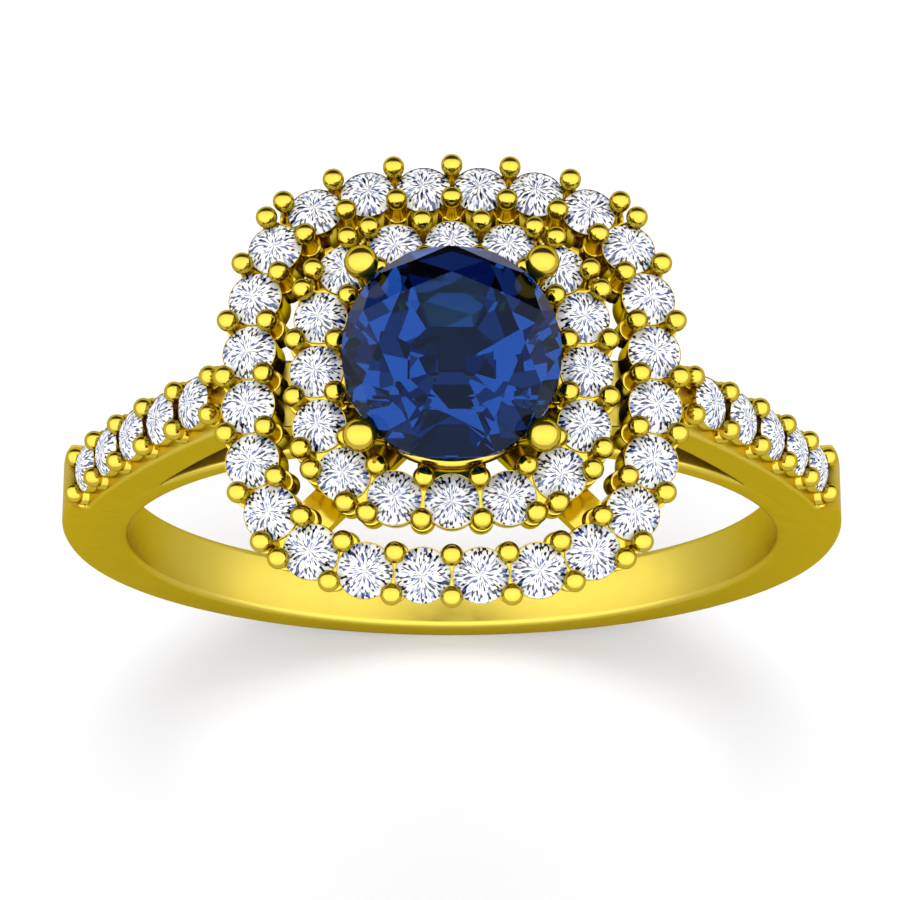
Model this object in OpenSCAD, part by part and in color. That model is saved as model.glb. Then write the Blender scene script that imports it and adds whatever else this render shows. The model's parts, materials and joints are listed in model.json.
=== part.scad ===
// Double-halo cathedral ring: a closed band with a bridge under the head, two pave
// shoulders, an outer and an inner cushion-shaped halo, and a four-claw centre basket.
// Frame: origin at the centre of the finger hole, Y along the finger, Z up through the
// head, X across the ring. All sizes are in millimetres.

/* [Finger hole and band] */
// Inner diameter of the ring
finger_d = 17.3; // [15:0.1:21]
// Width of the band along the finger
band_w = 1.73; // [1.4:0.05:2.4]
// Thickness of the band under the finger
band_t = 1.15; // [0.9:0.05:1.8]
// How much thicker the band is at its sides than under the finger
side_gain = 0.47; // [0:0.05:0.9]
// Thickness of the bridge that closes the finger hole under the head
bridge_t = 0.6; // [0.5:0.05:0.9]
// Rounding of the band's inner edges
bore_fillet = 0.18; // [0.05:0.01:0.25]
// Rounding of the band's outer edges
rim_fillet = 0.1; // [0.05:0.01:0.2]
// Angle above the X axis at which the shoulder is joined to the band
joint_angle = 20; // [16:1:24]

/* [Melee stones] */
// Diameter of an outer halo stone
outer_d = 1.3; // [1.08:0.02:1.56]
// Diameter of an inner halo stone
inner_d = 1.26; // [1.04:0.02:1.52]
// Diameter of a shoulder stone
shoulder_d = 1.25; // [1:0.02:1.5]
// Clearance between neighbouring outer halo stones
outer_gap = 0.055; // [0.03:0.005:0.2]
// Clearance between neighbouring inner halo stones
inner_gap = 0.085; // [0.03:0.005:0.2]
// Clearance between a stone and its seat
seat_gap = 0.02; // [0.01:0.005:0.04]

/* [Centre stone and basket] */
// Diameter of the centre stone
centre_d = 5.1; // [4.2:0.1:6.2]
// Height of the centre stone's girdle above the inner halo's girdles
centre_step = 1.5; // [1.3:0.05:2]
// Radius of a centre claw's ball
claw_ball_r = 0.4; // [0.3:0.02:0.5]
// Radius of a centre claw's wire
claw_wire_r = 0.27; // [0.2:0.01:0.32]
// Distance of a centre claw's ball outside the centre stone's edge
claw_gap = 0.43; // [0.3:0.01:0.5]
// Radius of the wire of the basket's upper rail
rail_wire_r = 0.17; // [0.12:0.01:0.22]
// Radius of the basket's base
base_r = 1.6; // [1.4:0.05:1.8]
// Radius of the open middle of the basket's base
base_hole_r = 0.7; // [0.4:0.05:0.9]
// Radius of the peg that stands the basket on the bridge
peg_r = 1; // [0.95:0.05:1.3]
// Height of the basket's upper rail below the centre stone's girdle
rail_drop = 1.35; // [1.2:0.05:1.6]
// Least clearance between the basket's upper rail and an inner halo stone
rail_gap = 0.1; // [0.05:0.01:0.3]
// Height of a claw's ball above the centre stone's girdle
claw_rise = 0.2; // [0.1:0.02:0.3]

/* [Halos] */
// Height of the outer stones' girdles above the bridge
head_rise = 2.2; // [2:0.05:2.8]
// Height of the inner stones' girdles above the outer ones
halo_step = 0.6; // [0.5:0.05:0.9]
// Least clearance between an outer stone and an inner one, seen from above
halo_gap = 0.3; // [0.2:0.02:0.6]
// Outward tilt of the outer stones in degrees
outer_tilt = 16; // [0:1:20]
// Outward tilt of the inner stones in degrees
inner_tilt = 10; // [0:1:15]

/* [Beads and rails] */
// Radius of a bead that holds a halo stone
bead_r = 0.26; // [0.2:0.01:0.28]
// Radius of the stem under a halo bead
stem_r = 0.17; // [0.12:0.01:0.2]
// Height of a halo bead's centre above the girdle
bead_rise = 0.37; // [0.3:0.01:0.42]
// How far inside the edge of its stones an outer halo bead's centre lies, across the tray
outer_bead_inset = 0.16; // [0.05:0.01:0.2]
// How far inside the edge of its stones an inner halo bead's centre lies
inner_bead_inset = 0.14; // [0.05:0.01:0.2]
// How much further out than a single bead a corner pair of beads lies
pair_step = 0.11; // [0.05:0.01:0.16]
// Half the spacing of a corner pair of beads
pair_half = 0.285; // [0.27:0.005:0.32]
// Width of a halo tray's rim beyond its stones
tray_rim = 0.03; // [0.02:0.005:0.06]
// Depth of a halo tray's underside below the girdle
tray_depth = 1.05; // [0.95:0.05:1.1]
// Height of a halo tray's wall
tray_h = 0.8; // [0.5:0.05:0.85]
// Width of the links between a tray's bosses
link_w = 0.9; // [0.7:0.05:1]
// Radius of the drilled hole under each halo stone
drill_r = 0.28; // [0.15:0.01:0.32]
// Height of a post's foot above the tray's underside
post_inset = 0.22; // [0.2:0.02:0.3]
// Width of the post between two stones, along the row
post_w = 0.42; // [0.3:0.02:0.5]

/* [Shoulders] */
// Angle of the lowest shoulder stone above the X axis
first_angle = 25; // [24:0.5:28]
// Depth of the lowest stone's girdle below the band's outside
first_sink = 0.125; // [0.05:0.005:0.2]
// Distance of the highest shoulder stone from the edge of the outer halo
last_gap = 0.74; // [0.7:0.02:1]
// Depth of the highest shoulder stone's girdle below the underside of the outer halo
last_drop = 0.77; // [0.7:0.01:1]
// Radius of the bow that the row follows
bow_r = 26; // [22:0.5:40]
// Depth of the arm below the girdles, at the middle stone
arm_depth = 1.25; // [1.1:0.05:1.5]
// Angle by which the arm narrows toward the head, in degrees
arm_taper = 1.8; // [0:0.2:4]
// Radius of a shoulder bead
arm_bead_r = 0.23; // [0.18:0.01:0.25]
// Radius of the stem under a shoulder bead
arm_stem_r = 0.15; // [0.1:0.01:0.18]
// Radius of the scoop that opens the arm's sides under each stone
scoop_r = 0.55; // [0.4:0.01:0.6]
// How far inside the edge of its stones a shoulder bead's centre lies, across the arm
arm_bead_inset = 0.155; // [0.1:0.005:0.2]
// Height of a shoulder bead's centre above the girdle
arm_bead_rise = 0.25; // [0.2:0.01:0.4]
// Height of the bar that carries the arm inward under the halos
bar_h = 0.7; // [0.4:0.05:0.8]

/* [Corner struts] */
// Width of a corner strut
strut_w = 0.9; // [0.6:0.05:1.1]
// Height of a corner strut
strut_h = 0.45; // [0.3:0.05:0.55]

/* [Hidden] */
$fn = 64;
FINE = 240;                  // facets of the large circles
OUTER_COUNT = 24;
INNER_COUNT = 16;
ROW_COUNT = 5;
CUSHION = 3;                 // exponent of the cushion line: 2 is a circle
bore_r = finger_d / 2;
bridge_r = bore_r + bridge_t;
// The band's outside is one circle, set above the finger hole's centre so that it is
// band_t thick below and band_t + side_gain thick at the sides.
rim_low = bore_r + band_t;
rim_side = rim_low + side_gain;
rim_r = (rim_low * rim_low + rim_side * rim_side) / (2 * rim_low);
rim_rise = rim_r - rim_low;
eps = 0.01;

// Brilliant proportions, as shares of the stone's diameter
TABLE = 0.57;
CROWN = 0.15;
STAR = 0.79;
STAR_H = 0.09;
GIRDLE = 0.025;
PAVILION = 0.43;
LOWER = 0.22;

// Heights of the girdles, of the underside of each halo, and of the base of the basket
outer_z = bridge_r + head_rise;
inner_z = outer_z + halo_step;
centre_z = inner_z + centre_step;
outer_under = outer_z - tray_depth;
inner_under = inner_z - tray_depth;
base_top = outer_under;
base_bottom = base_top - bar_h;

// A claw is a straight wire from its foot in the base to its ball
foot_reach = base_r - claw_wire_r;
claw_reach = centre_d / 2 + claw_gap;
foot_z = base_top - claw_wire_r;
claw_z = centre_z + claw_rise;
claw_lean = atan2(claw_reach - foot_reach, claw_z - foot_z);
claw_len = norm([claw_reach - foot_reach, claw_z - foot_z]);
rail_z = centre_z - rail_drop;
rail_r = foot_reach + (rail_z - foot_z) * tan(claw_lean);

// ---------- Cushion line: |x|^n + |y|^n = half^n, walked clockwise from +Y ----------
STEPS = 720;
function signed_pow(v, p) = sign(v) * pow(abs(v), p);
function cushion_point(half, a) =
    half * [signed_pow(sin(a), 2 / CUSHION), signed_pow(cos(a), 2 / CUSHION)];
// Running length of the line at each of STEPS + 1 angles
function cushion_lengths(half) = [
    for (i = 0, run = 0, p = cushion_point(half, 0); i <= STEPS;
         i = i + 1, q = cushion_point(half, i * 360 / STEPS), run = run + norm(q - p), p = q) run
];
function index_at(lengths, s, low = 0, high = STEPS) =
    high - low <= 1 ? low
    : let (mid = floor((low + high) / 2))
      lengths[mid] > s ? index_at(lengths, s, low, mid) : index_at(lengths, s, mid, high);
function angle_at(lengths, s) =
    let (i = index_at(lengths, s), f = (s - lengths[i]) / (lengths[i + 1] - lengths[i]))
    (i + f) * 360 / STEPS;
// Points of count stones at equal steps; start is the first one's place, in steps
function cushion_row(half, count, start) =
    let (lengths = cushion_lengths(half), step = lengths[STEPS] / count)
    [for (i = [0:count - 1]) cushion_point(half, angle_at(lengths, (i + start) * step))];

// Each halo is as small as its stones allow, but the inner one clears the basket's rail
// and the outer one clears the inner one.
unit_length = cushion_lengths(1)[STEPS];
inner_half = max(INNER_COUNT * (inner_d + inner_gap) / unit_length,
                 rail_r + rail_wire_r + inner_d / 2 + rail_gap);
outer_half = max(OUTER_COUNT * (outer_d + outer_gap) / unit_length,
                 inner_half + (inner_d + outer_d) / 2 + halo_gap);
// Distance of the beads from the line of the stones, across each tray
outer_bead_off = outer_d / 2 - outer_bead_inset;
inner_bead_off = inner_d / 2 - inner_bead_inset;
// How far the outer halo's metal reaches from the ring's axis, with its clearance
halo_edge = outer_half + outer_d / 2 + tray_rim + seat_gap;
outer_row = cushion_row(outer_half, OUTER_COUNT, 0.5);
inner_row = cushion_row(inner_half, INNER_COUNT, 0);
// A gap of a row is at a corner when a pair of beads holds it on the outside
function outer_pair(i) = i % 6 == 2;
function inner_pair(i) = i % 4 == 1 || i % 4 == 2;

// Outward direction of the cushion line at a point, in degrees
function outward(p) =
    atan2(signed_pow(p[1], CUSHION - 1), signed_pow(p[0], CUSHION - 1));

// ---------- Shoulder row: equal steps along a circle of bow_r, between two stones ----------
rim_at_first = rim_rise * sin(first_angle)
    + sqrt(rim_r * rim_r - pow(rim_rise * cos(first_angle), 2));
first_point = (rim_at_first - first_sink) * [cos(first_angle), sin(first_angle)];
last_point = [halo_edge + last_gap, outer_under - last_drop];
row_chord = last_point - first_point;
row_half = asin(norm(row_chord) / 2 / bow_r);
row_lean = atan2(row_chord[1], row_chord[0]) - 90;
bow_centre = (first_point + last_point) / 2
    - bow_r * cos(row_half) * [cos(row_lean), sin(row_lean)];
function row_normal(i) = row_lean + row_half * (2 * i / (ROW_COUNT - 1) - 1);
function row_point(i) = bow_centre + bow_r * [cos(row_normal(i)), sin(row_normal(i))];

// ---------- Stones ----------
function ring_points(count, r, z, turn = 0) =
    [for (i = [0:count - 1]) [r * cos(turn + i * 360 / count), r * sin(turn + i * 360 / count), z]];

// A round brilliant, girdle plane at z = 0
module brilliant(d) {
    points = concat(
        ring_points(8, d * TABLE / 2, d * CROWN),
        ring_points(8, d * STAR / 2, d * STAR_H, 22.5),
        ring_points(16, d / 2, d * GIRDLE / 2),
        ring_points(16, d / 2, -d * GIRDLE / 2),
        ring_points(8, d * LOWER / 2, -d * PAVILION * (1 - LOWER), 22.5),
        [[0, 0, -d * PAVILION]]
    );
    hull() polyhedron(points, [[for (i = [0:len(points) - 1]) i]]);
}

// The room that a stone takes in the metal, its clearance included
module stone_room(d) {
    r = d / 2 + seat_gap;
    rotate_extrude()
        polygon([
            [0, -d * PAVILION - seat_gap], [r, -d * GIRDLE / 2 - seat_gap],
            [r, d * GIRDLE / 2 + seat_gap], [d * TABLE / 2 + seat_gap, d * CROWN + seat_gap],
            [0, d * CROWN + seat_gap]
        ]);
}

// Places children at a halo stone: local Z is the stone's axis, local X points outward
module at_halo(p, z, tilt) {
    translate([p[0], p[1], z]) rotate([0, 0, outward(p)]) rotate([0, tilt, 0]) children();
}

// Places children on the right shoulder: local Z is the normal of the row
module at_row(i) {
    p = row_point(i);
    translate([p[0], 0, p[1]]) rotate([0, 90 - row_normal(i), 0]) children();
}

module mirror_if(flag) {
    if (flag) mirror([1, 0, 0]) children();
    else children();
}

module outer_stone(i) {
    color("white") at_halo(outer_row[i], outer_z, outer_tilt) brilliant(outer_d);
}

module inner_stone(i) {
    color("white") at_halo(inner_row[i], inner_z, inner_tilt) brilliant(inner_d);
}

module shoulder_stone(left, i) {
    color("white") mirror_if(left) at_row(i) brilliant(shoulder_d);
}

module centre_sapphire() {
    color("mediumblue") translate([0, 0, centre_z]) brilliant(centre_d);
}

// ---------- Beads and halos ----------
// A ball on a round stem that reaches down to z = -depth
module bead(ball_r, wire_r, rise, depth) {
    rotate_extrude() {
        translate([0, -depth]) square([wire_r, depth + rise]);
        intersection() {
            translate([0, rise]) circle(ball_r);
            translate([0, rise - ball_r]) square([ball_r, 2 * ball_r]);
        }
    }
}

// The post between stone i of a row and the next one, with the beads that it carries
module post(row, i, z, tilt, bead_off, pair) {
    a = row[i];
    b = row[(i + 1) % len(row)];
    gap = (a + b) / 2;
    depth = tray_depth - post_inset;
    stem = depth - stem_r / 2;
    pair_off = bead_off + pair_step;
    translate([gap[0], gap[1], z]) rotate([0, 0, atan2(b[1] - a[1], b[0] - a[0]) + 90])
        rotate([0, tilt, 0]) {
            translate([-bead_off, -post_w / 2, -depth])
                cube([2 * bead_off, post_w, depth - seat_gap]);
            translate([-bead_off, 0, 0]) bead(bead_r, stem_r, bead_rise, stem);
            for (place = pair ? [[pair_off, -pair_half], [pair_off, pair_half]] : [[bead_off, 0]])
                translate([place[0], place[1], 0]) bead(bead_r, stem_r, bead_rise, stem);
        }
}

// The tray of one halo: a round boss under each stone, joined by straight links
module tray(row, z, stone_d) {
    translate([0, 0, z - tray_depth]) linear_extrude(tray_h)
        for (i = [0:len(row) - 1]) {
            a = row[i];
            b = row[(i + 1) % len(row)];
            translate(a) {
                circle(stone_d / 2 + tray_rim);
                rotate(atan2(b[1] - a[1], b[0] - a[0]))
                    translate([0, -link_w / 2]) square([norm(b - a), link_w]);
            }
        }
}

// Tray, posts and beads of one halo, with the room of each stone cut out
module halo(row, z, tilt, stone_d, bead_off, pairs) {
    difference() {
        union() {
            tray(row, z, stone_d);
            for (i = [0:len(row) - 1]) post(row, i, z, tilt, bead_off, pairs[i]);
        }
        for (p = row) {
            at_halo(p, z, tilt) stone_room(stone_d);
            translate([p[0], p[1], z - tray_depth - eps]) cylinder(r = drill_r, h = tray_depth);
        }
    }
}

module outer_halo() {
    color("gold")
        halo(outer_row, outer_z, outer_tilt, outer_d, outer_bead_off,
             [for (i = [0:OUTER_COUNT - 1]) outer_pair(i)]);
}

module inner_halo() {
    color("gold")
        halo(inner_row, inner_z, inner_tilt, inner_d, inner_bead_off,
             [for (i = [0:INNER_COUNT - 1]) inner_pair(i)]);
}

// ---------- Band ----------
module about_y() { rotate([-90, 0, 0]) children(); }

// A disc about the Y axis with rounded rims, as thick as the band is wide
module rounded_disc() {
    straight = band_w / 2 - rim_fillet;
    about_y() {
        cylinder(r = rim_r, h = 2 * straight, center = true);
        cylinder(r = rim_r - rim_fillet, h = band_w, center = true);
        for (side = [-1, 1]) translate([0, 0, side * straight])
            rotate_extrude() translate([rim_r - rim_fillet, 0]) circle(rim_fillet);
    }
}

module bore_cut() {
    about_y() {
        cylinder(r = bore_r, h = band_w + 2 * eps, center = true);
        for (side = [0, 1]) mirror([0, 0, side]) rotate_extrude() difference() {
            translate([bore_r - eps, band_w / 2 - bore_fillet])
                square([bore_fillet + eps, bore_fillet + eps]);
            translate([bore_r + bore_fillet, band_w / 2 - bore_fillet]) circle(bore_fillet);
        }
    }
}

// Plane outline, seen along Y, of what lies above both joints and outside the bridge
module above_joints() {
    far = 3 * rim_r;
    side = far * [cos(joint_angle), sin(joint_angle)];
    difference() {
        polygon([[0, 0], side, [side[0], far], [-side[0], far], [-side[0], side[1]]]);
        circle(bridge_r, $fn = FINE);
    }
}

module along_y(width) { rotate([90, 0, 0]) linear_extrude(width, center = true) children(); }

module shank() {
    color("gold") difference() {
        translate([0, 0, rim_rise]) rounded_disc();
        bore_cut();
        along_y(band_w + 2 * eps) above_joints();
    }
}

// ---------- Shoulders ----------
// Outline of the right arm, seen along Y: it rises from the joint along the bow, turns in
// under the outer halo and runs level to the basket
module arm_outline() {
    mid = row_point(2) - arm_depth * [cos(row_normal(2)), sin(row_normal(2))];
    lean = row_normal(2) - arm_taper;
    start = row_point(-1);
    difference() {
        union() {
            intersection() {
                above_joints();
                union() {
                    translate(bow_centre) circle(bow_r, $fn = FINE);
                    intersection() {
                        translate([0, rim_rise]) circle(rim_r, $fn = FINE);
                        square([2 * rim_r, start[1]]);
                    }
                }
                square([2 * rim_r, 2 * rim_r]);
            }
            translate([0, base_bottom]) square([halo_edge, bar_h]);
        }
        difference() {
            translate(mid - bow_r * [cos(lean), sin(lean)]) circle(bow_r, $fn = FINE);
            translate([0, base_bottom]) square([halo_edge, bar_h]);
        }
        translate([0, base_top]) square([halo_edge, base_top]);
    }
}

module arm() {
    arm_bead_y = shoulder_d / 2 - arm_bead_inset;
    difference() {
        union() {
            along_y(band_w) arm_outline();
            for (i = [0:ROW_COUNT]) for (side = [-1, 1])
                at_row(i - 0.5) translate([0, side * arm_bead_y, 0])
                    bead(arm_bead_r, arm_stem_r, arm_bead_rise, scoop_r);
        }
        for (i = [0:ROW_COUNT - 1]) at_row(i) {
            stone_room(shoulder_d);
            rotate([90, 0, 0]) cylinder(r = scoop_r, h = band_w + 2 * eps, center = true);
        }
        cylinder(r = base_r, h = 2 * base_top);
    }
}

module left_shoulder() { color("gold") mirror([1, 0, 0]) arm(); }

module right_shoulder() { color("gold") arm(); }

// ---------- Basket ----------
module at_claws() { for (turn = [45:90:315]) rotate([0, 0, turn]) children(); }

module claws() {
    at_claws() translate([claw_reach, 0, claw_z]) rotate([0, claw_lean, 0])
        bead(claw_ball_r, claw_wire_r, 0, claw_len);
}

module centre_basket() {
    color("gold") difference() {
        union() {
            translate([0, 0, base_bottom]) cylinder(r = base_r, h = bar_h);
            claws();
        }
        translate([0, 0, base_bottom - 1]) cylinder(r = base_hole_r, h = bar_h + 2);
        translate([0, 0, centre_z]) stone_room(centre_d);
    }
}

module basket_rail() {
    color("gold") difference() {
        translate([0, 0, rail_z]) rotate_extrude() translate([rail_r, 0]) circle(rail_wire_r);
        claws();
    }
}

module basket_peg() {
    color("gold") difference() {
        cylinder(r = peg_r, h = base_bottom);
        about_y() cylinder(r = bridge_r, h = 4 * peg_r, center = true, $fn = FINE);
    }
}

// ---------- Corner struts ----------
// Four bars under the inner halo's corners, from the claws out to the outer halo's tray
module corner_struts() {
    corner = (outer_row[2] + outer_row[3]) / 2;
    color("gold") difference() {
        at_claws() translate([foot_reach, -strut_w / 2, inner_under - strut_h])
            cube([norm(corner) - foot_reach, strut_w, strut_h]);
        claws();
        tray(outer_row, outer_z, outer_d);
        for (i = [2:6:OUTER_COUNT - 1])
            post(outer_row, i, outer_z, outer_tilt, outer_bead_off, true);
    }
}

shank();
left_shoulder();
right_shoulder();
outer_halo();
inner_halo();
corner_struts();
centre_basket();
basket_rail();
basket_peg();
centre_sapphire();
for (i = [1:OUTER_COUNT])
    outer_stone(i - 1);
for (i = [1:INNER_COUNT])
    inner_stone(i - 1);
for (i = [1:ROW_COUNT]) {
    shoulder_stone(true, i - 1);
    shoulder_stone(false, i - 1);
}
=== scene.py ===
import json
import math
import random

import bmesh
import bpy
import numpy as np
from mathutils import Matrix, Vector


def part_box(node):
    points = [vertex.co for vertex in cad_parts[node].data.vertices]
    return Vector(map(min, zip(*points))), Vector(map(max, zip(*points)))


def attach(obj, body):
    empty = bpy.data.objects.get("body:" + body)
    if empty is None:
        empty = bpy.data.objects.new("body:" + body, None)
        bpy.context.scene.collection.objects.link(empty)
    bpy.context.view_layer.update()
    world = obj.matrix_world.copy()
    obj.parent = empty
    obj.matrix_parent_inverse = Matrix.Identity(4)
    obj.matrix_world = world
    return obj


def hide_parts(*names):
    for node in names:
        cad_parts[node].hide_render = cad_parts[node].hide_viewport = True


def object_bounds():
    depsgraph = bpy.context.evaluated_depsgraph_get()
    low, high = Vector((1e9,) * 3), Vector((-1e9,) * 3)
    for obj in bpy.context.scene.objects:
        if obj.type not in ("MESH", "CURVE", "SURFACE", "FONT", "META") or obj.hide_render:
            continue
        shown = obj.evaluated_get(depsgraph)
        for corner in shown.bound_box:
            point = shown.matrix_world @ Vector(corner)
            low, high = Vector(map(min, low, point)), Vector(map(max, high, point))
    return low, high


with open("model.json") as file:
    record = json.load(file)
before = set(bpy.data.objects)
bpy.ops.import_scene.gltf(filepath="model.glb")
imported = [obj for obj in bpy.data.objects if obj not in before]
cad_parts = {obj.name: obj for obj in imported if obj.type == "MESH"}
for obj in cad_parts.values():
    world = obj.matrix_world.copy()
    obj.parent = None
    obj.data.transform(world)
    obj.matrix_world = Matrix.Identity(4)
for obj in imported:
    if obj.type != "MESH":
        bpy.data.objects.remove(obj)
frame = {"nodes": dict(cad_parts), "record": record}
cad_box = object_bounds()

# ---------- Camera ----------
# A long portrait lens, set high in front of the ring, that looks down into the head.
# It aims just behind the middle of the finger hole.
mm = 0.001
scene = bpy.context.scene
scene.view_settings.view_transform = "Standard"
lens = bpy.data.cameras.new("camera")
lens.sensor_width = 36
lens.lens = 137.6
lens.shift_x = -0.002
lens.clip_start = 5 * mm
lens.clip_end = 5
camera = bpy.data.objects.new("camera", lens)
scene.collection.objects.link(camera)
camera_height = math.radians(72.64)
camera_distance = 93.06 * mm
aim = Vector((0, 1.83 * mm, 0))
back = Vector((0, -math.cos(camera_height), math.sin(camera_height)))
camera.location = aim + camera_distance * back
camera.rotation_euler = (math.pi / 2 - camera_height, 0, 0)
scene.camera = camera


# ---------- Studio ----------
# A sheet of white paper under one big soft dome of light, open toward the horizon.
# The dome leans toward the viewer, so metal that faces away from it turns dark, and a
# weak lamp behind the ring throws its shadow toward the viewer.
class Flow:
    """One output of a shader node. Arithmetic on it adds Math nodes."""

    def __init__(self, tree, socket=None):
        self.tree = tree
        self.socket = socket

    def node(self, kind, settings=None, values=None, output=0):
        made = self.tree.nodes.new(kind)
        for name, value in (settings or {}).items():
            if name == "stops":
                stops = made.color_ramp.elements
                while len(stops) < len(value):
                    stops.new(0.5)
                for stop, (place, colour) in zip(stops, value):
                    stop.position = place
                    stop.color = (*colour, 1)
            elif name == "steps":
                made.color_ramp.interpolation = "CONSTANT"
            else:
                setattr(made, name, value)
        for name, value in (values or {}).items():
            if isinstance(value, Flow):
                self.tree.links.new(value.socket, made.inputs[name])
            else:
                made.inputs[name].default_value = value
        return Flow(self.tree, made.outputs[output] if made.outputs else None)

    def maths(self, operation, a, b):
        return self.node("ShaderNodeMath", {"operation": operation}, {0: a, 1: b})

    def __add__(self, other):
        return self.maths("ADD", self, other)

    def __sub__(self, other):
        return self.maths("SUBTRACT", self, other)

    def __rsub__(self, other):
        return self.maths("SUBTRACT", other, self)

    def __mul__(self, other):
        return self.maths("MULTIPLY", self, other)

    __radd__ = __add__
    __rmul__ = __mul__


def blend_colours(factor, first, second):
    """A colour from first, where factor is 0, to second, where it is 1."""
    settings = {"data_type": "RGBA", "clamp_factor": True}
    return factor.node(
        "ShaderNodeMix", settings, {0: factor, 6: first, 7: second}, output=2
    )


world = bpy.data.worlds.new("studio")
scene.world = world
world.use_nodes = True
world.node_tree.nodes.clear()
sky = Flow(world.node_tree)
direction = sky.node("ShaderNodeTexCoord")
dome_axis = Vector((0, -0.36, 0.93)).normalized()
toward_dome = sky.node(
    "ShaderNodeVectorMath",
    {"operation": "DOT_PRODUCT"},
    {0: direction, 1: dome_axis},
    output="Value",
)
sideways = sky.node("ShaderNodeSeparateXYZ", {}, {0: direction}, output="X")
side_reach = 0.6
dome_edge = [(0.28, (0, 0, 0)), (0.46, (0.72, 0.72, 0.72)), (0.97, (1, 1, 1))]
in_dome = sky.node(
    "ShaderNodeValToRGB",
    {"stops": dome_edge},
    {0: toward_dome + side_reach * sideways * sideways},
)
dome_light = (2.75, 2.75, 2.78, 1)
surroundings = (0.08, 0.075, 0.06, 1)
seen = blend_colours(in_dome, surroundings, dome_light)
# Through a stone the studio is broken up: lit panels, blue shade and black gaps.
panels = sky.node(
    "ShaderNodeTexVoronoi", {"feature": "F1"}, {"Vector": direction, "Scale": 8.0}, output="Color"
)
panel = panels.node("ShaderNodeSeparateColor", {}, {"Color": panels})
panel_stops = [
    (0.0, (0.0, 0.0, 0.01)),
    (0.28, (0.06, 0.11, 0.32)),
    (0.46, (0.40, 0.44, 0.52)),
    (0.64, (2.0, 2.0, 2.0)),
]
panel_light = sky.node("ShaderNodeValToRGB", {"stops": panel_stops, "steps": True}, {0: panel})
through_stone = sky.node("ShaderNodeLightPath", output="Is Transmission Ray")
seen = blend_colours(through_stone, seen, panel_light)
# The paper gets a little less of the dome than the metal does.
on_paper = sky.node("ShaderNodeLightPath", output="Is Diffuse Ray")
paper_loss = 0.16
seen = blend_colours(paper_loss * on_paper, seen, (0, 0, 0, 1))
straight_on = sky.node("ShaderNodeLightPath", output="Is Camera Ray")
paper_white = (1.0, 1.0, 1.0, 1)
shown = blend_colours(straight_on, seen, paper_white)
glow = sky.node("ShaderNodeBackground", {}, {"Color": shown, "Strength": 1.0})
sky.node("ShaderNodeOutputWorld", {}, {"Surface": glow})

back_sheet = bpy.data.lights.new("back_sheet", "AREA")
back_sheet.size = 0.09
back_sheet.energy = 0.26
back_lamp = bpy.data.objects.new("back_sheet", back_sheet)
back_lamp.location = (0, 0.11, 0.20)
back_lamp.rotation_euler = (-back_lamp.location).to_track_quat("-Z", "Y").to_euler()
back_lamp.visible_glossy = False
back_lamp.visible_transmission = False
scene.collection.objects.link(back_lamp)

paper = bmesh.new()
paper_half = 2.0
paper_z = cad_box[0].z - 0.02 * mm
for x, y in ((-1, -1), (1, -1), (1, 1), (-1, 1)):
    paper.verts.new((x * paper_half, y * paper_half, paper_z))
paper.faces.new(paper.verts)
paper_mesh = bpy.data.meshes.new("paper_floor")
paper.to_mesh(paper_mesh)
floor = bpy.data.objects.new("paper_floor", paper_mesh)
scene.collection.objects.link(floor)
floor_material = bpy.data.materials.new("white_paper")
floor_material.use_nodes = True
floor_material.node_tree.nodes.clear()
ink = Flow(floor_material.node_tree)
fibre = ink.node("ShaderNodeTexNoise", {}, {"Scale": 60.0, "Detail": 4.0})
tone = blend_colours(fibre, (0.47, 0.47, 0.48, 1), (0.50, 0.50, 0.51, 1))
sheet_shader = ink.node("ShaderNodeBsdfPrincipled", {}, {"Base Color": tone, "Roughness": 0.9})
ink.node("ShaderNodeOutputMaterial", {}, {"Surface": sheet_shader})
paper_mesh.materials.append(floor_material)


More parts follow.
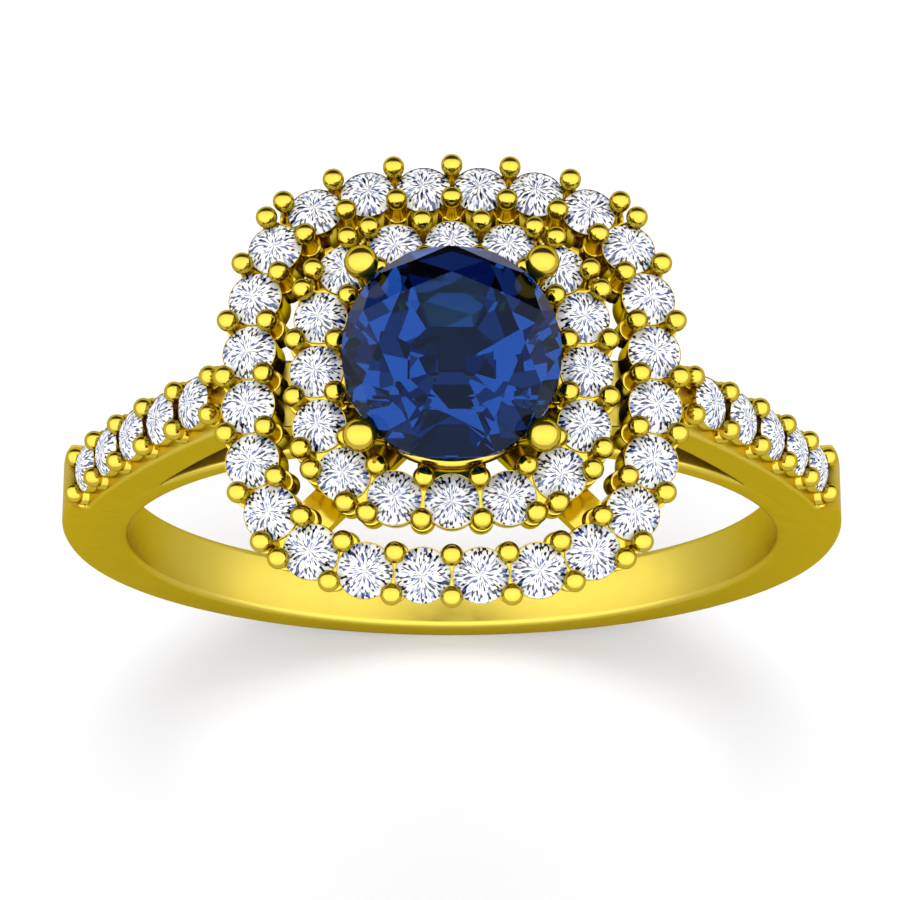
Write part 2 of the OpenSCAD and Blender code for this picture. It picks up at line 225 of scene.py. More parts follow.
# ---------- Band ----------
# A solid band of yellow gold, cast in one with the thin bridge that closes the finger
# hole under the head. It is turned, filed to two rounded edges and polished.
def gold(name, light, deep, dull, grain, recess=None):
    """Yellow gold: its light and deep tints, its roughness and the height of its grain.
    recess holds two heights: on walls that face the ring's axis, painted shade
    darkens the gold from the first height down to the second."""
    edge_tint = (0.66, 0.55, 0.20, 1)
    # The near-black brown below, with its share and edge, is the colour of the painted shade in a
    # halo's recess.
    painted_shade = (0.035, 0.020, 0.002, 1)
    painted_shade_share = 0.92
    painted_shade_edge = 2.5
    material = bpy.data.materials.new(name)
    material.use_nodes = True
    material.node_tree.nodes.clear()
    metal = Flow(material.node_tree)
    place = metal.node("ShaderNodeTexCoord", output="Object")
    cloud = metal.node("ShaderNodeTexNoise", {}, {"Vector": place, "Scale": 420.0, "Detail": 3.0})
    rub = metal.node("ShaderNodeTexNoise", {}, {"Vector": place, "Scale": 2600.0, "Detail": 5.0})
    pores = metal.node("ShaderNodeTexNoise", {}, {"Vector": place, "Scale": 9000.0, "Detail": 2.0})
    tint = blend_colours(cloud, (*light, 1), (*deep, 1))
    # Painted shade: below the girdles, walls that face the ring's axis are darkened toward a near-black
    # brown, where the halo above shades them.
    if recess:
        clear, dark = recess
        height = metal.node("ShaderNodeSeparateXYZ", {}, {0: place}, output="Z")
        depth = (clear - height) * (1 / (clear - dark))
        flat = metal.node("ShaderNodeVectorMath", {"operation": "MULTIPLY"}, {0: place, 1: (1, 1, 0)})
        away = metal.node("ShaderNodeVectorMath", {"operation": "NORMALIZE"}, {0: flat})
        facing = metal.node("ShaderNodeNewGeometry", output="Normal")
        outward = metal.node(
            "ShaderNodeVectorMath", {"operation": "DOT_PRODUCT"}, {0: facing, 1: away}, output="Value"
        )
        hidden = metal.node("ShaderNodeClamp", {}, {"Value": 1 - painted_shade_edge * outward})
        sunk = metal.node("ShaderNodeClamp", {}, {"Value": depth})
        tint = blend_colours(painted_shade_share * hidden * sunk, tint, painted_shade)
    skin = metal.node(
        "ShaderNodeBump", {}, {"Height": pores, "Strength": grain, "Distance": 0.004 * mm}
    )
    shader = metal.node(
        "ShaderNodeBsdfPrincipled",
        {},
        {
            "Base Color": tint, "Metallic": 1.0, "Roughness": dull * (0.7 + 0.6 * rub),
            "Normal": skin, "Specular Tint": edge_tint,
        },
    )
    metal.node("ShaderNodeOutputMaterial", {}, {"Surface": shader})
    return material


band_gold = gold("band_gold", (0.52, 0.405, 0.062), (0.48, 0.370, 0.054), 0.33, 0.25)


def add_piece(name, bm, material, replaced, smooth=True):
    """Turns a mesh under construction into a piece that rides on the ring."""
    bmesh.ops.recalc_face_normals(bm, faces=bm.faces)
    mesh = bpy.data.meshes.new(name)
    bm.to_mesh(mesh)
    bm.free()
    mesh.materials.append(material)
    piece = bpy.data.objects.new(name, mesh)
    scene.collection.objects.link(piece)
    if smooth:
        mesh.shade_smooth()
        mesh.set_sharp_from_angle(angle=math.radians(38))
        piece.modifiers.new("even_shading", "WEIGHTED_NORMAL").keep_sharp = True
    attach(piece, "root")
    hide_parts(*replaced)
    return piece


def skin_rings(bm, rings, closed):
    """Quads between successive rings of points, and back to the first ring if closed."""
    made = [[bm.verts.new(p) for p in ring] for ring in rings]
    pairs = list(zip(made, made[1:] + made[:1]))
    for low, high in pairs if closed else pairs[:-1]:
        for i, vertex in enumerate(low):
            after = (i + 1) % len(low)
            bm.faces.new((vertex, low[after], high[after], high[i]))
    return made


def corner(centre_x, centre_y, radius, start, steps=5):
    """Points of a quarter circle that turns left from the angle start, in degrees."""
    return [
        (
            centre_x + radius * math.cos(math.radians(start + 90 * i / steps)),
            centre_y + radius * math.sin(math.radians(start + 90 * i / steps)),
        )
        for i in range(steps + 1)
    ]


bore_r = frame["record"]["mounts"][0]["dims"]["r_mm"] * mm
shank_low, shank_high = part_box("shank")
band_half = shank_high.y
rim_r = shank_high.x
rim_rise = rim_r + shank_low.z
bridge_r = shank_high.z
joint_angle = math.radians(20)
split_angle = math.radians(36)
bore_fillet = 0.18 * mm
rim_fillet = 0.13 * mm
seam_fillet = 0.004 * mm
flare = 0.13 * mm
flare_start = math.radians(-4)
flare_end = math.radians(24)


def rim_at(angle):
    """Distance from the finger hole's centre to the outside of the band, which flares
    a little as it nears the shoulders."""
    rise = math.pi / 2 - abs(math.pi / 2 - angle) if angle <= math.pi else math.pi - angle
    share = min(1, max(0, (rise - flare_start) / (flare_end - flare_start)))
    round_rim = rim_rise * math.sin(angle) + math.sqrt(rim_r**2 - (rim_rise * math.cos(angle)) ** 2)
    return round_rim + flare * share * share * (3 - 2 * share)


def band_section(angle, outside, fillet):
    """The band's cross-section at an angle above the X axis, as points in space."""
    outline = corner(bore_r + bore_fillet, band_half - bore_fillet, bore_fillet, 90)
    outline += corner(bore_r + bore_fillet, bore_fillet - band_half, bore_fillet, 180)
    outline += corner(outside - fillet, fillet - band_half, fillet, 270)
    outline += corner(outside - fillet, band_half - fillet, fillet, 0)
    return [(r * math.cos(angle), y, r * math.sin(angle)) for r, y in outline]


band = bmesh.new()
sections = []
band_steps = 150
bridge_steps = 100
for i in range(band_steps + 1):
    angle = math.pi - joint_angle + i / band_steps * (math.pi + 2 * joint_angle)
    turn = angle - 2 * math.pi if angle > 1.5 * math.pi else angle
    sections.append(band_section(angle, rim_at(turn), rim_fillet))
for i in range(bridge_steps + 1):
    angle = joint_angle + i / bridge_steps * (math.pi - 2 * joint_angle)
    open_by = min(angle, math.pi - angle) - split_angle
    rounding = seam_fillet + (rim_fillet - seam_fillet) * min(1, max(0, open_by * 12))
    sections.append(band_section(angle, bridge_r, rounding))
skin_rings(band, sections, closed=True)
add_piece("ring_band", band, band_gold, ["shank"])


# ---------- Seats ----------
# Every stone lies in a seat of its own. The seat's middle, axis and width come from
# the stone's solid in the frame: its widest points are its girdle.
def seat_of(node):
    """(girdle centre, axis toward the table, diameter) of the stone in a CAD node."""
    corners = np.array([v.co for v in frame["nodes"][node].data.vertices])
    points = np.unique(np.round(corners, 7), axis=0)
    middle = points.mean(axis=0)
    axis = np.linalg.eigh(np.cov((points - middle).T))[1][:, 0]
    along = (points - middle) @ axis
    if along.max() > -along.min():
        axis = -axis
        along = -along
    reach = np.linalg.norm(points - middle - np.outer(along, axis), axis=1)
    girdle = middle + axis * along[reach > 0.99 * reach.max()].mean()
    return Vector(girdle), Vector(axis), 2 * reach.max()


def seat_frame(centre, out, up):
    """A matrix whose Z is up and whose X is out, at a point."""
    z = up.normalized()
    y = z.cross(out).normalized()
    x = y.cross(z)
    return Matrix.Translation(centre) @ Matrix((x, y, z)).transposed().to_4x4()


outer_seats = [seat_of(f"outer_stone_{i}") for i in range(1, 25)]
inner_seats = [seat_of(f"inner_stone_{i}") for i in range(1, 17)]
shoulder_seats = {
    side: [seat_of(f"{side}_shoulder_stone_{i}") for i in range(1, 6)] for side in ("left", "right")
}


# ---------- Shoulders ----------
# Two cathedral arms of yellow gold rise from the band to the head, filed like the band.
# Each has a row of five polished seats, and pins with ball ends that were pushed over
# the stones' edges.
polish = ((0.49, 0.375, 0.050), (0.43, 0.325, 0.040), 0.13, 0.15)
setting_gold = gold("setting_gold", *polish)


def slab(bm, outline, fillets, low, high, place):
    """A plate with that outline, from low to high along Z, its rims rounded by fillets."""
    count = len(outline)
    points = [Vector(p) for p in outline]
    inward = []
    for i, point in enumerate(points):
        before = (point - points[i - 1]).normalized()
        after = (points[(i + 1) % count] - point).normalized()
        normal = Vector((-before.y - after.y, before.x + after.x)).normalized()
        inward.append(normal / max(0.4, normal.dot(Vector((-before.y, before.x)))))
    steps = 4
    rings = []
    for rim, step_range in ((low, range(steps, -1, -1)), (high, range(steps + 1))):
        sign = 1 if rim == low else -1
        for step in step_range:
            turn = math.pi / 2 * step / steps
            ring = []
            for point, normal, fillet in zip(points, inward, fillets):
                flat = point + normal * fillet * (1 - math.cos(turn))
                ring.append(place @ Vector((*flat, rim + sign * fillet * (1 - math.sin(turn)))))
            rings.append(ring)
    made = skin_rings(bm, rings, closed=False)
    bm.faces.new(made[0])
    bm.faces.new(made[-1])


def turned(bm, profile, place, sides=24):
    """A turned shape: profile is (radius, height) from the top of its axis to the bottom."""
    rings = [
        [
            place @ Vector((r * math.cos(turn), r * math.sin(turn), z))
            for turn in (2 * math.pi * i / sides for i in range(sides))
        ]
        for r, z in profile[1:-1]
    ]
    made = skin_rings(bm, rings, closed=False)
    for ring, height in ((made[0], profile[0][1]), (made[-1], profile[-1][1])):
        pole = bm.verts.new(place @ Vector((0, 0, height)))
        for i, vertex in enumerate(ring):
            bm.faces.new((vertex, ring[(i + 1) % sides], pole))


def pin(ball_r, stem_r, rise, depth, flat):
    """Profile of a pin: a ball of radius ball_r at height rise on a stem down to -depth.
    flat is 2 for a round ball and more for one that is flattened on top."""
    steps = 9
    neck = math.asin(min(1, stem_r / ball_r))
    points = []
    for i in range(steps + 1):
        turn = (math.pi - neck) * i / steps
        reach = math.sin(turn)
        height = math.cos(turn)
        if turn < math.pi / 2:
            reach = reach ** (2 / flat)
            height = height ** (2 / flat)
        points.append((ball_r * reach, rise + ball_r * height))
    return points + [(stem_r, -depth), (0, -depth)]


def circle_through(a, b, c):
    """Centre and radius of the circle through three points of a plane."""
    ax, ay, bx, by = b[0] - a[0], b[1] - a[1], c[0] - a[0], c[1] - a[1]
    d = 2 * (ax * by - ay * bx)
    p, q = ax * ax + ay * ay, bx * bx + by * by
    centre = Vector((a[0] + (by * p - ay * q) / d, a[1] + (ax * q - bx * p) / d))
    return centre, (centre - Vector(a)).length


def arc(centre, radius, start, end, steps):
    """Points of a circle's arc between two angles, both ends included."""
    return [
        (
            centre[0] + radius * math.cos(start + (end - start) * i / steps),
            centre[1] + radius * math.sin(start + (end - start) * i / steps),
        )
        for i in range(steps + 1)
    ]


arm_ledge = 0.27 * mm
end_slope = 0.10 * mm
end_fillet = 0.24 * mm
arm_tuck = math.radians(4)
seam_sink = 0.012 * mm
end_scoop_r = 1.13 * mm
arm_depth = 1.25 * mm
arm_taper = math.radians(1.8)
arm_fillet = 0.09 * mm
pin_ball_r = 0.262 * mm
pin_stem_r = 0.22 * mm
pin_off = 0.48 * mm
pin_rise = 0.06 * mm
pin_lobe_r = 0.30 * mm
pin_depth = 0.45 * mm
pin_flat = 2.2
pin_lobe_top = 0.08 * mm
pin_lobe_depth = 0.42 * mm
arm_cup_depth = 0.7 * mm
above_row = 0.9 * mm
arm_steps = 12
near_split = Vector((7 * mm, 5.5 * mm))
base_low, base_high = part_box("centre_basket")
head_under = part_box("outer_halo")[0].z
base_r = 1.6 * mm


def meet(centre_a, r_a, centre_b, r_b, near):
    """The point where two circles meet, on the side of near."""
    step = centre_b - centre_a
    apart = step.length
    along = (r_a**2 - r_b**2 + apart**2) / (2 * apart)
    height = math.sqrt(max(0, r_a**2 - along**2))
    foot = centre_a + step * along / apart
    side = Vector((-step.y, step.x)) / apart * height
    return min((foot + side, foot - side), key=lambda p: (p - near).length)


def angle_of(point, centre):
    return math.atan2(point[1] - centre[1], point[0] - centre[0])


def arm_outline(seats):
    """Outline of the right arm in the plane of the ring, and the rounding of each point."""
    origin = Vector((0, 0))
    row = [Vector((abs(centre.x), centre.z)) for centre, axis, width in seats]
    bow, bow_r = circle_through(row[0], row[2], row[4])
    half_step = (angle_of(row[1], bow) - angle_of(row[0], bow)) / 2
    top_r = bow_r - arm_ledge
    row_start = angle_of(row[0], bow) - half_step
    wall_top = row_start - (pin_stem_r + end_slope) / bow_r
    start = bow + bow_r * Vector((math.cos(wall_top), math.sin(wall_top)))
    step_up = angle_of(start, origin)
    low_end = joint_angle - arm_tuck
    points = []
    for i in range(arm_steps + 1):
        turn = low_end + (step_up - low_end) * i / arm_steps
        reach = rim_at(turn) - (seam_sink if turn < joint_angle else 0)
        points.append((reach * math.cos(turn), reach * math.sin(turn)))
    top_end = math.asin((head_under - bow.y) / top_r)
    points += arc(bow, top_r, row_start, top_end, 60)
    base_bottom = base_low.z
    points += [(base_r, head_under), (base_r, base_bottom)]
    middle = row[2] - arm_depth * (row[2] - bow).normalized()
    lean = angle_of(row[2], bow) - arm_taper
    under = middle - bow_r * Vector((math.cos(lean), math.sin(lean)))
    first = math.asin((base_bottom - under.y) / bow_r)
    bridge_top = bridge_r - seam_sink
    split = meet(under, bow_r, origin, bridge_top, near_split)
    points += arc(under, bow_r, first, angle_of(split, under), 40)
    split_at = len(points) - 1
    points += arc(origin, bridge_top, angle_of(split, origin), low_end, 24)[1:]
    fillets = [arm_fillet] * len(points)
    for i in range(split_at, len(points)):
        fillets[i] = seam_fillet
    for i in range(arm_steps + 1):
        fillets[i] = rim_fillet + (end_fillet - rim_fillet) * (i / arm_steps) ** 2
    for smoothing in range(8):
        for i in range(1, split_at - 1):
            fillets[i] = (fillets[i - 1] + fillets[i] + fillets[i + 1]) / 3
    return points, fillets


def carve(body, cutters):
    """Cuts each cutter out of a body; both are closed meshes under construction."""
    objects = []
    for bm in [body, *cutters]:
        bmesh.ops.recalc_face_normals(bm, faces=bm.faces)
        mesh = bpy.data.meshes.new("blank")
        bm.to_mesh(mesh)
        bm.free()
        objects.append(bpy.data.objects.new("blank", mesh))
        scene.collection.objects.link(objects[-1])
    for cutter in objects[1:]:
        cutting = objects[0].modifiers.new("cut", "BOOLEAN")
        cutting.object = cutter
        cutting.solver = "MANIFOLD"
    carved = bmesh.new()
    carved.from_object(objects[0], bpy.context.evaluated_depsgraph_get())
    for used in objects:
        bpy.data.meshes.remove(used.data)
    return carved


cup_rim = 0.028 * mm
cup_gap = 0.008 * mm
cup_taper = 0.05 * mm
cutter_top = 0.6 * mm
cutter_gap = 0.01 * mm
# The drilled hole's radius and foot and the cone's foot, as shares of the stone's width.
hole_r = 0.2
hole_foot = 0.52
cone_foot = 0.28


def cup_profile(width, depth):
    """A stone's cup: a cone seat in a cylinder that narrows a little toward its foot."""
    rim = width / 2 + cup_rim
    seat = width / 2 + cup_gap
    hole = hole_r * width
    return [
        (0, -hole_foot * width), (hole, -hole_foot * width), (hole, -cone_foot * width),
        (seat, -0.022 * width), (seat, 0.012 * width),
        (rim - 0.006 * mm, 0.012 * width), (rim, -0.004 * width),
        (rim, -0.30 * mm), (rim - cup_taper, -depth), (0, -depth),
    ]


def lobe_profile(radius, top, depth):
    """A rounded boss that carries a pin, from the height -top down to -depth."""
    soft = 0.04 * mm
    return [
        (0, -top), (radius - soft, -top),
        (radius - 0.3 * soft, -top - 0.3 * soft), (radius, -top - soft),
        (radius, -depth + soft), (radius - soft, -depth), (0, -depth),
    ]


def seat_cutter(seats):
    """Cutters for the rooms of a row's cups: a cone and a drilled hole for each."""
    bm = bmesh.new()
    for centre, axis, width in seats:
        wide = width / 2 + cup_gap + cutter_gap
        hole = hole_r * width + cutter_gap
        foot = -(hole_foot + 0.02) * width
        profile = [
            (0, cutter_top), (wide, cutter_top), (wide, -0.02 * width),
            (hole, -cone_foot * width), (hole, foot), (0, foot),
        ]
        turned(bm, profile, seat_frame(centre, Vector((0, 1, 0)), axis), sides=40)
    return bm


for side, sign in (("left", -1), ("right", 1)):
    seats = shoulder_seats[side]
    arm = bmesh.new()
    outline, fillets = arm_outline(seats)
    across = Matrix(((sign, 0, 0, 0), (0, 0, 1, 0), (0, 1, 0, 0), (0, 0, 0, 1)))
    half = band_half - 0.15 * seam_sink
    slab(arm, outline, fillets, -half, half, across)
    end_scoop = bmesh.new()
    end_profile = [
        (0, above_row), (end_scoop_r, above_row), (end_scoop_r, -arm_ledge), (0, -arm_ledge),
    ]
    turned(end_scoop, end_profile, seat_frame(seats[0][0], Vector((0, 1, 0)), seats[0][1]), sides=64)
    arm = carve(arm, [seat_cutter(seats), end_scoop])
    filed_faces = len(arm.faces)
    for centre, axis, width in seats:
        place = seat_frame(centre, Vector((0, 1, 0)), axis)
        turned(arm, cup_profile(width, arm_cup_depth), place, sides=40)
    row = [Vector((centre.x, centre.z)) for centre, axis, width in seats]
    bow, bow_r = circle_through(row[0], row[2], row[4])
    step = (angle_of(row[1], bow) - angle_of(row[0], bow) + math.pi) % (2 * math.pi) - math.pi
    for i in range(6):
        turn = angle_of(row[0], bow) + (i - 0.5) * step
        normal = Vector((math.cos(turn), 0, math.sin(turn)))
        centre = Vector((bow.x, 0, bow.y)) + bow_r * normal
        for front in (-1, 1):
            to_side = Vector((0, front, 0))
            place = seat_frame(centre + pin_off * to_side, to_side, normal)
            turned(arm, pin(pin_ball_r, pin_stem_r, pin_rise, pin_depth, pin_flat), place)
            turned(arm, lobe_profile(pin_lobe_r, pin_lobe_top, pin_lobe_depth), place)
    arm.faces.ensure_lookup_table()
    for face in arm.faces[filed_faces:]:
        face.material_index = 1
    arm_piece = add_piece(f"{side}_arm", arm, band_gold, [f"{side}_shoulder"])
    arm_piece.data.materials.append(setting_gold)


# ---------- Halos ----------
# Two cast frames of cushion shape, one inside and above the other. Each is a chain of
# cups, one to a stone, with ball-ended pins in the gaps between the cups.
halo_ball_r = 0.262 * mm
halo_stem_r = 0.19 * mm
halo_rise = 0.36 * mm
halo_off = 0.49 * mm
pair_off = 0.60 * mm
pair_half = 0.285 * mm
halo_flat = 2.25
lobe_r = 0.30 * mm
lobe_top = 0.24 * mm
lobe_place = 0.88
link_half = 0.40 * mm
link_top = 0.45 * mm
link_fillet = 0.03 * mm
web_half = 0.2 * mm
web_top = 0.01 * mm
outer_depth = 0.86 * mm
inner_depth = 0.92 * mm
outer_pairs = {2, 8, 14, 20}
inner_pairs = {1, 2, 5, 6, 9, 10, 13, 14}
shade_start = 0.12 * mm
shade_end = 0.45 * mm


def halo_frame(seats, depth, pairs):
    """Cups, links, lobes and pins of one halo, as a mesh under construction. The gaps
    numbered in pairs have two outer pins."""
    bm = bmesh.new()
    for i, (centre, axis, width) in enumerate(seats):
        out = Vector((axis.x, axis.y, 0))
        turned(bm, cup_profile(width, depth), seat_frame(centre, out, axis), sides=40)
        far, far_axis = seats[(i + 1) % len(seats)][:2]
        middle = (centre + far) / 2
        up = (axis + far_axis).normalized()
        along = (far - centre).normalized()
        out = up.cross(along)
        place = seat_frame(middle, out, up)
        half = (far - centre).length / 2
        link = [(-link_half, -half), (link_half, -half), (link_half, half), (-link_half, half)]
        slab(bm, link, [link_fillet] * 4, -depth, -link_top, place)
        spots = [(-halo_off, 0)]
        spots += [(pair_off, -pair_half), (pair_off, pair_half)] if i in pairs else [(halo_off, 0)]
        for x, y in spots:
            spot = place @ Matrix.Translation((x, y, 0))
            turned(bm, pin(halo_ball_r, halo_stem_r, halo_rise, depth, halo_flat), spot)
            lobe = place @ Matrix.Translation((x * lobe_place, y, 0))
            turned(bm, lobe_profile(lobe_r, lobe_top, depth), lobe)
        web = []
        for t in np.linspace(-halo_off, halo_off, 13):
            room = half - math.sqrt(max(0, (width / 2 + 0.012 * mm) ** 2 - t * t))
            web.append((t, min(web_half, max(0.003 * mm, room))))
        web = [(t, -w) for t, w in web] + [(t, w) for t, w in reversed(web)]
        slab(bm, web, [0.001 * mm] * len(web), -depth, -web_top, place)
    return bm


def halo_gold(name, seats):
    """Polished gold with painted shade in the gap below a halo's girdles."""
    girdle_z = seats[0][0].z
    return gold(name, *polish, recess=(girdle_z - shade_start, girdle_z - shade_end))


outer_gold = halo_gold("outer_halo_gold", outer_seats)
inner_gold = halo_gold("inner_halo_gold", inner_seats)
outer_frame = halo_frame(outer_seats, outer_depth, outer_pairs)
add_piece("outer_halo_frame", outer_frame, outer_gold, ["outer_halo"])
inner_frame = halo_frame(inner_seats, inner_depth, inner_pairs)
add_piece("inner_halo_frame", inner_frame, inner_gold, ["inner_halo"])


# ---------- Struts, basket and peg ----------
# Four bars run from the claws, under the inner halo, to the outer halo's corners. Four
# claws stand on the basket's base, a wire hoop with four brackets ties the claws to the
# inner halo, and a round peg stands the base on the bridge. All are gold, soldered.
for node in ("corner_struts", "basket_peg"):
    kept = frame["nodes"][node]
    kept.data.materials.clear()
    kept.data.materials.append(setting_gold)

claw_ball_r = 0.40 * mm
claw_wire_r = 0.27 * mm
claw_foot = 1.33 * mm
claw_flat = 2.15
base_hole_r = 0.7 * mm
base_hole_depth = 0.2 * mm
base_bevel = 0.04 * mm
stone_centre, stone_axis, stone_width = seat_of("centre_sapphire")
ball_place = base_high - Vector((claw_ball_r,) * 3)
basket = bmesh.new()
base = [
    (0, head_under - base_hole_depth), (base_hole_r, head_under - base_hole_depth),
    (base_hole_r + 0.05 * mm, head_under), (base_r - base_bevel, head_under),
    (base_r, head_under - base_bevel), (base_r, base_low.z), (0, base_low.z),
]
turned(basket, base, Matrix.Identity(4), sides=64)
for sx in (-1, 1):
    for sy in (-1, 1):
        ball = Vector((sx * ball_place.x, sy * ball_place.y, ball_place.z))
        diagonal = Vector((sx, sy, 0)).normalized()
        foot = diagonal * claw_foot + Vector((0, 0, head_under - claw_wire_r))
        wire = ball - foot
        claw = pin(claw_ball_r, claw_wire_r, 0, wire.length, claw_flat)
        turned(basket, claw, seat_frame(ball, diagonal, wire), sides=32)
add_piece("basket_with_claws", basket, setting_gold, ["centre_basket"])

rail_low, rail_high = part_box("basket_rail")
rail_wire_r = (rail_high.z - rail_low.z) / 2
rail_z = (rail_high.z + rail_low.z) / 2
rail_r = rail_high.x - rail_wire_r
rail = bmesh.new()
hoop = []
hoop_steps = 120
wire_sides = 16
for i in range(hoop_steps):
    turn = Matrix.Rotation(2 * math.pi * i / hoop_steps, 3, "Z")
    wire_turns = (2 * math.pi * j / wire_sides for j in range(wire_sides))
    hoop.append([
        turn @ Vector((rail_r + rail_wire_r * math.cos(a), 0, rail_z + rail_wire_r * math.sin(a)))
        for a in wire_turns
    ])
skin_rings(rail, hoop, closed=True)
bracket_half = 0.8 * mm
bracket_reach = inner_seats[0][0].y - 0.4 * mm
bracket_low = rail_z - 0.5 * mm
bracket_high = rail_z - 0.12 * mm
bracket = [
    (-bracket_half, rail_r), (bracket_half, rail_r),
    (bracket_half, bracket_reach), (-bracket_half, bracket_reach),
]
for quarter in range(4):
    turn = Matrix.Rotation(math.pi / 2 * quarter, 4, "Z")
    slab(rail, bracket, [0.05 * mm] * 4, bracket_low, bracket_high, turn)
add_piece("basket_hoop", rail, setting_gold, ["basket_rail"])


# ---------- Diamonds ----------
# Fifty small round stones of brilliant cut, colourless: 24 and 16 in the halos and
# five on each shoulder. Each was turned at random as it was set.
def polar(radius, turn, height):
    """A point at a radius and height, turned by that many eighths of a circle."""
    angle = math.pi / 4 * turn
    return Vector((radius * math.cos(angle), radius * math.sin(angle), height))


def cut(bm, a, b, c):
    """Grinds one flat facet through three points; the stone's middle stays."""
    normal = (b - a).cross(c - a).normalized()
    if normal.dot(a) < 0:
        normal = -normal
    all_parts = bm.verts[:] + bm.edges[:] + bm.faces[:]
    cut_edges = bmesh.ops.bisect_plane(
        bm, geom=all_parts, dist=1e-7, plane_co=a, plane_no=normal, clear_outer=True
    )["geom_cut"]
    rim = [e for e in cut_edges if isinstance(e, bmesh.types.BMEdge)]
    if len(rim) > 2:
        bmesh.ops.holes_fill(bm, edges=rim, sides=0)


def rough_stone(top, bottom, sides):
    """A round blank of diameter 1, ready for its facets."""
    bm = bmesh.new()
    turns = [2 * math.pi * i / sides for i in range(sides)]
    rings = [[(0.5 * math.cos(a), 0.5 * math.sin(a), z) for a in turns] for z in (bottom, top)]
    made = skin_rings(bm, rings, closed=False)
    bm.faces.new(made[0])
    bm.faces.new(made[1])
    return bm


def cut_crown(bm, table, star, height, girdle):
    """Table, eight kites, eight stars and sixteen upper girdle facets."""
    slope = (height - girdle) / (0.5 - table / 2)
    star_height = girdle + (0.5 - star / 2 * math.cos(math.pi / 8)) * slope
    for i in range(8):
        edge = polar(0.5, i, girdle)
        star_after = polar(star / 2, i + 0.5, star_height)
        star_before = polar(star / 2, i - 0.5, star_height)
        cut(bm, edge, star_after, star_before)
        cut(bm, edge, polar(0.5, i + 0.5, girdle), star_after)
        cut(bm, edge, polar(0.5, i - 0.5, girdle), star_before)
        cut(bm, polar(table / 2, i, height), polar(table / 2, i + 1, height), star_after)
    cut(bm, polar(0.2, 0, height), polar(0.2, 2, height), polar(0.2, 5, height))


def cut_pavilion(bm, depth, lower, girdle):
    """Eight long kites that meet at the point, and sixteen lower girdle facets."""
    slope = (depth - girdle) / 0.5
    lower_height = -girdle - (0.5 - lower / 2 * math.cos(math.pi / 8)) * slope
    for i in range(8):
        edge = polar(0.5, i, -girdle)
        after = polar(lower / 2, i + 0.5, lower_height)
        before = polar(lower / 2, i - 0.5, lower_height)
        cut(bm, edge, after, before)
        cut(bm, edge, polar(0.5, i + 0.5, -girdle), after)
        cut(bm, edge, polar(0.5, i - 0.5, -girdle), before)


diamond = bpy.data.materials.new("diamond")
diamond.use_nodes = True
diamond.node_tree.nodes.clear()
crystal = Flow(diamond.node_tree)
# Painted sparkle: white, blue and black cells in the base colour, fanned around the stone's axis, are
# painted reflections that stand in for the flashes of a cut stone.
place = crystal.node("ShaderNodeTexCoord", output="Object")
x = crystal.node("ShaderNodeSeparateXYZ", {}, {0: place}, output="X")
y = crystal.node("ShaderNodeSeparateXYZ", {}, {0: place}, output="Y")
z = crystal.node("ShaderNodeSeparateXYZ", {}, {0: place}, output="Z")
around = x.maths("ARCTAN2", x, y)
square = x * x + y * y
outward = square.maths("SQRT", square, 0.5)
spread = crystal.node("ShaderNodeCombineXYZ", {}, {"X": 5.5 * around, "Y": 6.0 * outward, "Z": 3.0 * z})
painted_glints = crystal.node(
    "ShaderNodeTexVoronoi", {"feature": "F1"}, {"Vector": spread, "Scale": 2.2}, output="Color"
)
glint = crystal.node("ShaderNodeSeparateColor", {}, {"Color": painted_glints})
glint_stops = [
    (0.0, (0.0, 0.0, 0.01)),
    (0.26, (0.03, 0.08, 0.36)),
    (0.33, (0.40, 0.46, 0.60)),
    (0.46, (1.0, 1.0, 1.0)),
]
sparkle = crystal.node("ShaderNodeValToRGB", {"stops": glint_stops, "steps": True}, {0: glint})
shader = crystal.node(
    "ShaderNodeBsdfPrincipled",
    {},
    {
        "Base Color": sparkle, "Roughness": 0.02, "IOR": 2.42, "Transmission Weight": 0.45,
        "Specular Tint": (0.35, 0.36, 0.40, 1),
    },
)
crystal.node("ShaderNodeOutputMaterial", {}, {"Surface": shader})
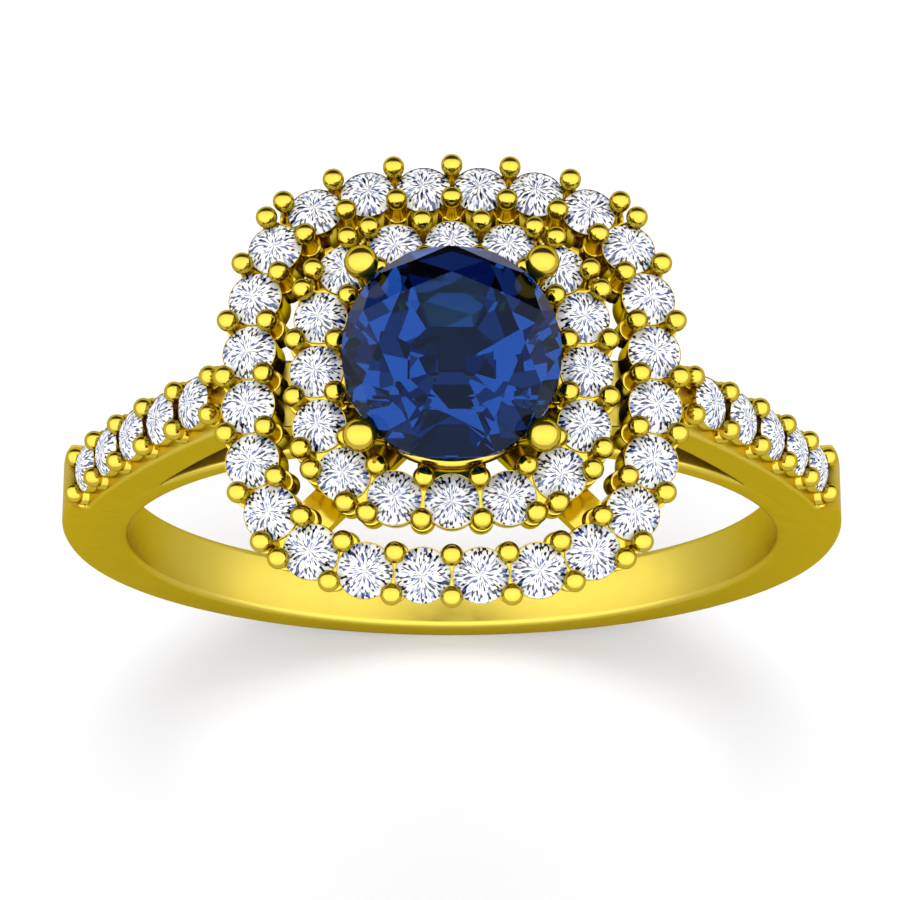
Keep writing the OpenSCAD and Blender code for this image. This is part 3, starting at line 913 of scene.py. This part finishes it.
# Proportions of a stone, as shares of its width.
half_girdle = 0.0125
brilliant = rough_stone(0.16, -0.44, 64)
cut_crown(brilliant, 0.57, 0.79, 0.15, half_girdle)
cut_pavilion(brilliant, 0.43, 0.22, half_girdle)
bmesh.ops.recalc_face_normals(brilliant, faces=brilliant.faces)
brilliant_mesh = bpy.data.meshes.new("brilliant")
brilliant.to_mesh(brilliant_mesh)
brilliant.free()
brilliant_mesh.materials.append(diamond)
chance = random.Random(7)
settings = [(f"outer_stone_{i + 1}", seat) for i, seat in enumerate(outer_seats)]
settings += [(f"inner_stone_{i + 1}", seat) for i, seat in enumerate(inner_seats)]
for side, seats in shoulder_seats.items():
    settings += [(f"{side}_shoulder_stone_{i + 1}", seat) for i, seat in enumerate(seats)]
for node, (centre, axis, width) in settings:
    stone = bpy.data.objects.new(node.replace("stone", "diamond"), brilliant_mesh)
    scene.collection.objects.link(stone)
    turn = Matrix.Rotation(chance.uniform(0, 2 * math.pi), 4, "Z")
    stone.matrix_world = seat_frame(centre, Vector((0, -1, 0)), axis) @ turn @ Matrix.Scale(width, 4)
    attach(stone, "root")
    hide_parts(node)


# ---------- Sapphire ----------
# The centre stone is a blue sapphire of mixed cut: a brilliant's crown over a pavilion
# ground in steps, which shows broad bars of light through the table.
sapphire = bpy.data.materials.new("sapphire")
sapphire.use_nodes = True
sapphire.node_tree.nodes.clear()
crystal = Flow(sapphire.node_tree)
place = crystal.node("ShaderNodeTexCoord", output="Object")
zones = crystal.node("ShaderNodeTexNoise", {}, {"Vector": place, "Scale": 500.0, "Detail": 2.0})
tint = blend_colours(zones, (0.008, 0.048, 0.255, 1), (0.004, 0.022, 0.125, 1))
shader = crystal.node(
    "ShaderNodeBsdfPrincipled",
    {},
    {
        "Base Color": tint, "Roughness": 0.0, "IOR": 1.77, "Transmission Weight": 1.0,
        "Specular Tint": (0.07, 0.11, 0.22, 1),
    },
)
crystal.node("ShaderNodeOutputMaterial", {}, {"Surface": shader})
gem = rough_stone(0.17, -0.44, 128)
cut_crown(gem, 0.66, 0.87, 0.13, half_girdle)
step_slopes = ((58, 0.0), (46, 0.13), (36, 0.26))
step_drop = 1.15
front_inset = 0.03
for slope, start in step_slopes:
    tan_slope = math.tan(math.radians(slope))
    for i in range(8):
        reach = 0.5 - start - (front_inset if i % 4 == 2 else 0)
        on_step = polar(reach, i, -half_girdle - start * step_drop)
        along_step = polar(1, i + 2, 0)
        down_step = -polar(1, i, 0) - Vector((0, 0, tan_slope))
        cut(gem, on_step, on_step + along_step, on_step + down_step)
bmesh.ops.recalc_face_normals(gem, faces=gem.faces)
# The stone is a little longer than it is wide, and sits a hair toward its front claws.
length_share = 1.04
to_front = Vector((0, -0.04 * mm, 0))
gem_seat = seat_frame(stone_centre + to_front, Vector((1, 0, 0)), stone_axis)
gem_size = Matrix.Diagonal((stone_width, length_share * stone_width, stone_width, 1))
gem_place = gem_seat @ gem_size
bmesh.ops.transform(gem, matrix=gem_place, verts=gem.verts)
add_piece("blue_sapphire", gem, sapphire, ["centre_sapphire"], smooth=False)
